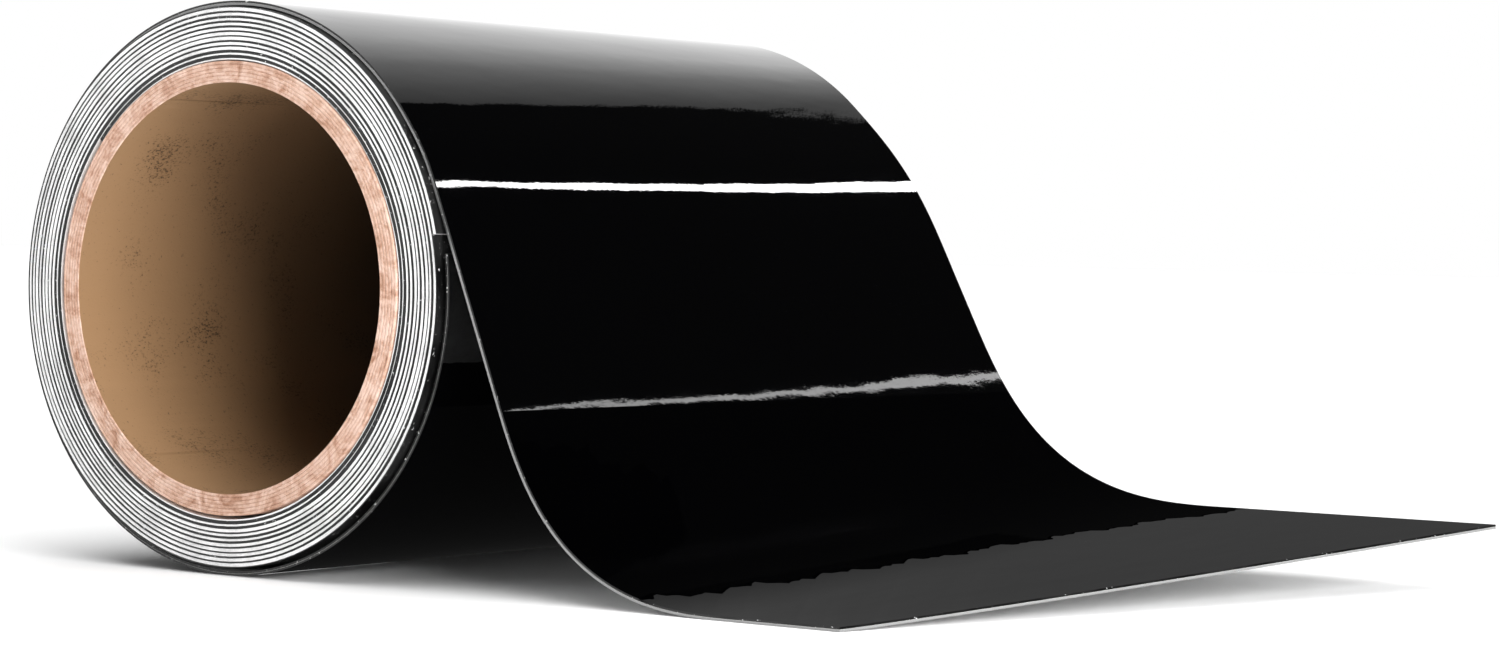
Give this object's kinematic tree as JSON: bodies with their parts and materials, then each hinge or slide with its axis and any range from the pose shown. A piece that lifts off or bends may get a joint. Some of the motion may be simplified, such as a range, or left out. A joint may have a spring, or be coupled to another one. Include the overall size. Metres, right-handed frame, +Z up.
{
  "type": "roll of sign vinyl",
  "caption": "Roll of gloss black self-adhesive sign vinyl on a paperboard core: the free end runs down to lie flat, and its film peels from the white release liner.",
  "frame": {"origin": "centre of the core bore, half way along the roll", "axes": "+Y along the roll's axis, +X towards the free end of the web, +Z up from the surface the roll lies on"},
  "size_m": [0.2381, 0.1524, 0.1064],
  "materials": {
    "vinyl_film": "gloss",
    "adhesive": "satin",
    "release_liner": "smooth coated paper",
    "paperboard": "matte fibrous paperboard",
    "kraft_skin": "matte paper",
    "kraft_lining": "matte kraft paper",
    "paper_tape": "matte crepe paper"
  },
  "bodies": {
    "lead": {"lead_liner": "release_liner", "lead_adhesive": "adhesive", "lead_film": "vinyl_film"},
    "roll": {"core_inner_ply": "kraft_lining", "core_ply_2": "paperboard", "core_ply_3": "paperboard", "core_ply_4": "paperboard", "core_ply_5": "paperboard", "core_outer_ply": "kraft_skin", "starter_tape": "paper_tape", "wound_liner": "release_liner", "wound_adhesive": "adhesive", "wound_film": "vinyl_film"},
    "tail": {"tail_liner": "release_liner", "tail_adhesive": "adhesive", "tail_film": "vinyl_film"},
    "tail_end": {"end_liner": "release_liner"},
    "peel_flap": {"end_adhesive": "adhesive", "end_film": "vinyl_film"}
  },
  "joints": [
    {"name": "roll_turn", "type": "hinge", "parent": "lead", "child": "roll", "pos_m": [0, 0, 0], "axis": [0, 1, 0], "range_deg": [-8, 120]},
    {"name": "tail_lift", "type": "hinge", "parent": "lead", "child": "tail", "pos_m": [0.11032, 0, -0.0524], "axis": [0, -1, 0], "range_deg": [0, 35]},
    {"name": "web_feed", "type": "slide", "parent": "tail", "child": "tail_end", "axis": [1, 0, 0], "range_m": [-0.0085, 0.1125], "deforming": ["tail_liner", "tail_adhesive", "tail_film"]},
    {"name": "film_peel", "type": "hinge", "parent": "tail_end", "child": "peel_flap", "pos_m": [0.12482, 0, -0.0524], "axis": [0, -1, 0], "range_deg": [0, 110]}
  ],
  "couplings": [
    {"joint": "web_feed", "follows": "roll_turn", "m_per_rad": 0.05285}
  ]
}
